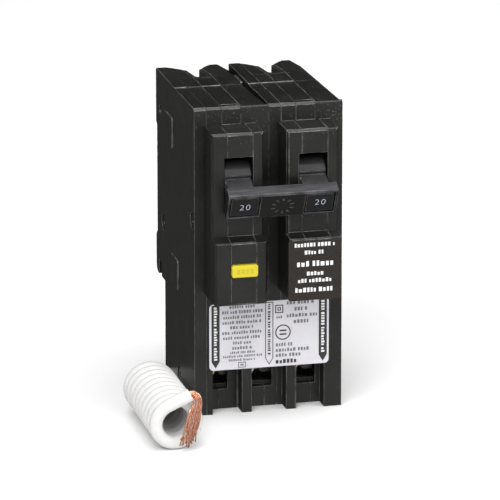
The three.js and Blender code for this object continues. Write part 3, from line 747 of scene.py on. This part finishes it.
def add_ratings_print():
    random.seed(11)
    dark = Print(LABEL_LOW, LABEL_HIGH)
    for left in SIDE_ARROWS:
        right = left + ARROW_WIDTH
        dark.outline([
            (left, ARROW_TOP), (left, ARROW_SHOULDER), ((left + right) / 2, ARROW_POINT),
            (right, ARROW_SHOULDER), (right, ARROW_TOP),
        ])
    dark.line(26.8, 21.5, 7.8, 1.7)
    dark.done("ratings_print_dark", INK_DARK)

    grey = Print(LABEL_LOW, LABEL_HIGH)
    widths = (9, 14, 13.2, 13.8, 8.5, 14, 13.4, 6.5, 7)
    for i, width in enumerate(widths):
        grey.line(11.4, 1.3 + 1.8 * i, width, 1.25)
    for i, width in enumerate((8.5, 13.5, 9.5)):
        grey.line(11.4, 17.3 + 1.3 * i, width, 0.95)
    grey.frame(9.9, 12.6, 20.7, 22.7, 0.3)
    grey.bar(10.7, 11.8, 21.4, 22.0)
    right_lines = (
        (31.7, 1.1, 10, 1.5), (31.6, 3.4, 4.5, 1.5), (31.9, 5.6, 10.5, 1.5), (31.8, 7.8, 5.4, 1.5),
        (24.1, 5.9, 2, 1.1),
    )
    for line in right_lines:
        grey.line(*line)
    for down, width in ((15.6, 6), (17.5, 11.6), (19.3, 9.6)):
        grey.line(22.9 + width / 2, down, width, 1.45)
    grey.done("ratings_print_grey", INK_GREY)

    marks = Print(LABEL_LOW, LABEL_HIGH)
    marks.frame(22.7, 25.5, 1.6, 4.5, 0.35)
    marks.frame(23.5, 24.7, 2.45, 3.65, 0.3)
    marks.ring(25.4, 11.3, 2.7, 0.42)
    marks.bar(24.2, 26.6, 10.4, 10.95)
    marks.bar(24.2, 26.6, 11.7, 12.25)
    left, right = OPEN_ARROW, OPEN_ARROW + ARROW_WIDTH
    middle = (left + right) / 2
    thick = 0.28
    marks.bar(left, left + thick, ARROW_TOP, ARROW_SHOULDER)
    marks.bar(right - thick, right, ARROW_TOP, ARROW_SHOULDER)
    marks.bar(left + thick, right - thick, ARROW_TOP, ARROW_TOP + thick)
    for side, inner in ((left, left + thick), (right, right - thick)):
        marks.outline([
            (side, ARROW_SHOULDER), (middle, ARROW_POINT),
            (middle, ARROW_POINT - 0.55), (inner, ARROW_SHOULDER),
        ])
    marks.line(middle, ARROW_WORDS, 18.2, 1.1, upright=True)
    marks.done("ratings_print_marks", INK_DARK)

    white = Print(LABEL_LOW, LABEL_HIGH)
    white.front -= mm(PRINT)  # over the dark arrows
    for left in SIDE_ARROWS:
        white.line(left + ARROW_WIDTH / 2, ARROW_WORDS, 18.6, 1.35, upright=True)
    white.done("ratings_print_white", INK_WHITE)


def add_sticker_print():
    random.seed(5)
    middle = (STICKER_HIGH.x - STICKER_LOW.x) / mm(2)
    white = Print(STICKER_LOW, STICKER_HIGH)
    lines = (
        (1.5, 14.0, 1.55), (4.1, 7.1, 1.55), (8.0, 12.3, 2.2),
        (11.4, 5.6, 1.6), (13.8, 11.6, 1.6), (17.0, 13.5, 1.8),
    )
    for down, width, height in lines:
        white.line(middle, down, width, height)
    white.done("sticker_print", INK_WHITE)


# ---- Handles: digits and the mark on the tie ----------------------------------------------------

PIVOT_Y, PIVOT_Z = -5, 83.3
HANDLE_REST = math.radians(28)
HANDLE_TIP = 14.7  # from the pivot to the face that carries the digits
TIE_FACE = 15.0  # from the pivot to the front of the tie


def on_handle():
    """The matrix from the handle pointing straight out to its rest position."""
    pivot = Matrix.Translation(at(0, PIVOT_Y, PIVOT_Z))
    return pivot @ Matrix.Rotation(HANDLE_REST, 4, "X") @ pivot.inverted()


def add_digits():
    """The current rating on each handle's tip, seen through the tie's windows."""
    for side, middle, lift in (("left", 13.0, 0.5), ("right", 38.45, 0.85)):
        data = bpy.data.curves.new(f"{side}_rating_digits", "FONT")
        data.body = "20"
        data.size = mm(3.5)
        data.align_x = "CENTER"
        data.align_y = "CENTER"
        data.extrude = mm(0.03)
        data.offset = mm(-0.075)
        data.space_character = 1.2
        text = bpy.data.objects.new(data.name, data)
        bpy.context.scene.collection.objects.link(text)
        place = Matrix.Translation(at(middle, PIVOT_Y - HANDLE_TIP, PIVOT_Z + lift))
        upright = place @ Matrix.Rotation(math.pi / 2, 4, "X")
        bpy.context.view_layer.update()
        mesh = bpy.data.meshes.new_from_object(text.evaluated_get(bpy.context.evaluated_depsgraph_get()))
        bpy.data.objects.remove(text)
        mesh.transform(on_handle() @ upright)
        new_piece(f"{side}_rating_digits", mesh, INK_BLUISH, "handles")


def add_tie_mark():
    """A ring of small raised double dashes in the middle of the tie."""
    shape = bmesh.new()
    dashes = 10
    squeeze = 0.88
    for i in range(dashes):
        turn = 2 * math.pi * (i + 0.5) / dashes
        for reach, half in ((3.5, 0.42), (2.85, 0.3)):
            x, z = reach * math.cos(turn), squeeze * reach * math.sin(turn)
            place = on_handle() @ Matrix.Translation(at(25.7 + x, PIVOT_Y - TIE_FACE, PIVOT_Z + 0.5 + z))
            add_box(shape, mm(-half, -0.07, -0.09), mm(half, 0.1, 0.09), place)
    new_piece("tie_mark", mesh_of(shape, "tie_mark"), DASHES, "handles")


def add_button_mark():
    """Low raised blocks across the test button, in place of its word, in yellow darkened as painted shade."""
    shape = bmesh.new()
    x = (BUTTON_LOW.x + BUTTON_HIGH.x) / 2
    z = (BUTTON_LOW.z + BUTTON_HIGH.z) / 2
    for i in range(4):
        middle = Vector((x + mm(1.5 * (i - 1.5)), BUTTON_LOW.y, z))
        add_box(shape, middle + mm(-0.5, -0.05, -0.8), middle + mm(0.5, 0.1, 0.8))
    new_piece("button_mark", mesh_of(shape, "button_mark"), BUTTON_RELIEF_SHADED, "button")


# ---- Floor and light ---------------------------------------------------------------------------


def add_floor():
    bpy.ops.mesh.primitive_plane_add(size=8, location=(0, 1, -0.00002))
    floor = bpy.context.active_object
    floor.name = "floor"
    made = Finish("floor", (0.93, 0.93, 0.93), 0.9)
    made.set("Specular IOR Level", 0.0)
    floor.data.materials.append(made.material)
    floor.visible_glossy = False


def add_area(name, location, target, size, power):
    data = bpy.data.lights.new(name, "AREA")
    data.shape = "RECTANGLE"
    data.size, data.size_y = size
    data.energy = power
    light = bpy.data.objects.new(name, data)
    light.location = location
    aim = Vector(target) - Vector(location)
    light.rotation_mode = "QUATERNION"
    light.rotation_quaternion = aim.to_track_quat("-Z", "Y")
    bpy.context.scene.collection.objects.link(light)


def add_world():
    """A soft studio surround: pale in front and overhead, dark behind."""
    world = bpy.data.worlds.new("studio")
    world.use_nodes = True
    tree = world.node_tree
    background = tree.nodes["Background"]
    place = tree.nodes.new("ShaderNodeTexCoord")
    split = tree.nodes.new("ShaderNodeSeparateXYZ")
    tree.links.new(place.outputs["Generated"], split.inputs[0])

    def ramp(axis, low, high, low_out, high_out):
        made = tree.nodes.new("ShaderNodeMapRange")
        made.inputs["From Min"].default_value = low
        made.inputs["From Max"].default_value = high
        made.inputs["To Min"].default_value = low_out
        made.inputs["To Max"].default_value = high_out
        tree.links.new(split.outputs[axis], made.inputs["Value"])
        return made.outputs["Result"]

    blend = tree.nodes.new("ShaderNodeMix")
    tree.links.new(ramp("Y", -0.9, 0.5, 0.0, 1.0), blend.inputs[0])
    tree.links.new(ramp("Z", -0.25, 0.3, 0.53, 0.98), blend.inputs[2])
    tree.links.new(ramp("Z", -0.2, 0.2, 0.09, 0.015), blend.inputs[3])
    tree.links.new(blend.outputs[0], background.inputs["Color"])
    background.inputs["Strength"].default_value = 1.0
    bpy.context.scene.world = world


def add_lights():
    add_area("key", (-0.7, -1.0, 1.2), (0, 0, 0.05), (0.9, 0.9), 14)
    add_area("top", (0.1, 0.0, 1.6), (0, 0, 0.05), (1.4, 1.2), 17)
    add_area("fill", (1.1, -0.8, 0.7), (0, 0, 0.05), (0.8, 0.8), 6)


# ---- Making ------------------------------------------------------------------------------------

add_camera()
wire = add_lead()
strands = add_strands()

for node in nodes:
    if not nodes[node].hide_render:
        finish_node(node)

add_ratings_print()
add_sticker_print()
add_digits()
add_tie_mark()
add_button_mark()

add_floor()
add_world()
add_lights()
bpy.context.scene.view_settings.view_transform = "Standard"
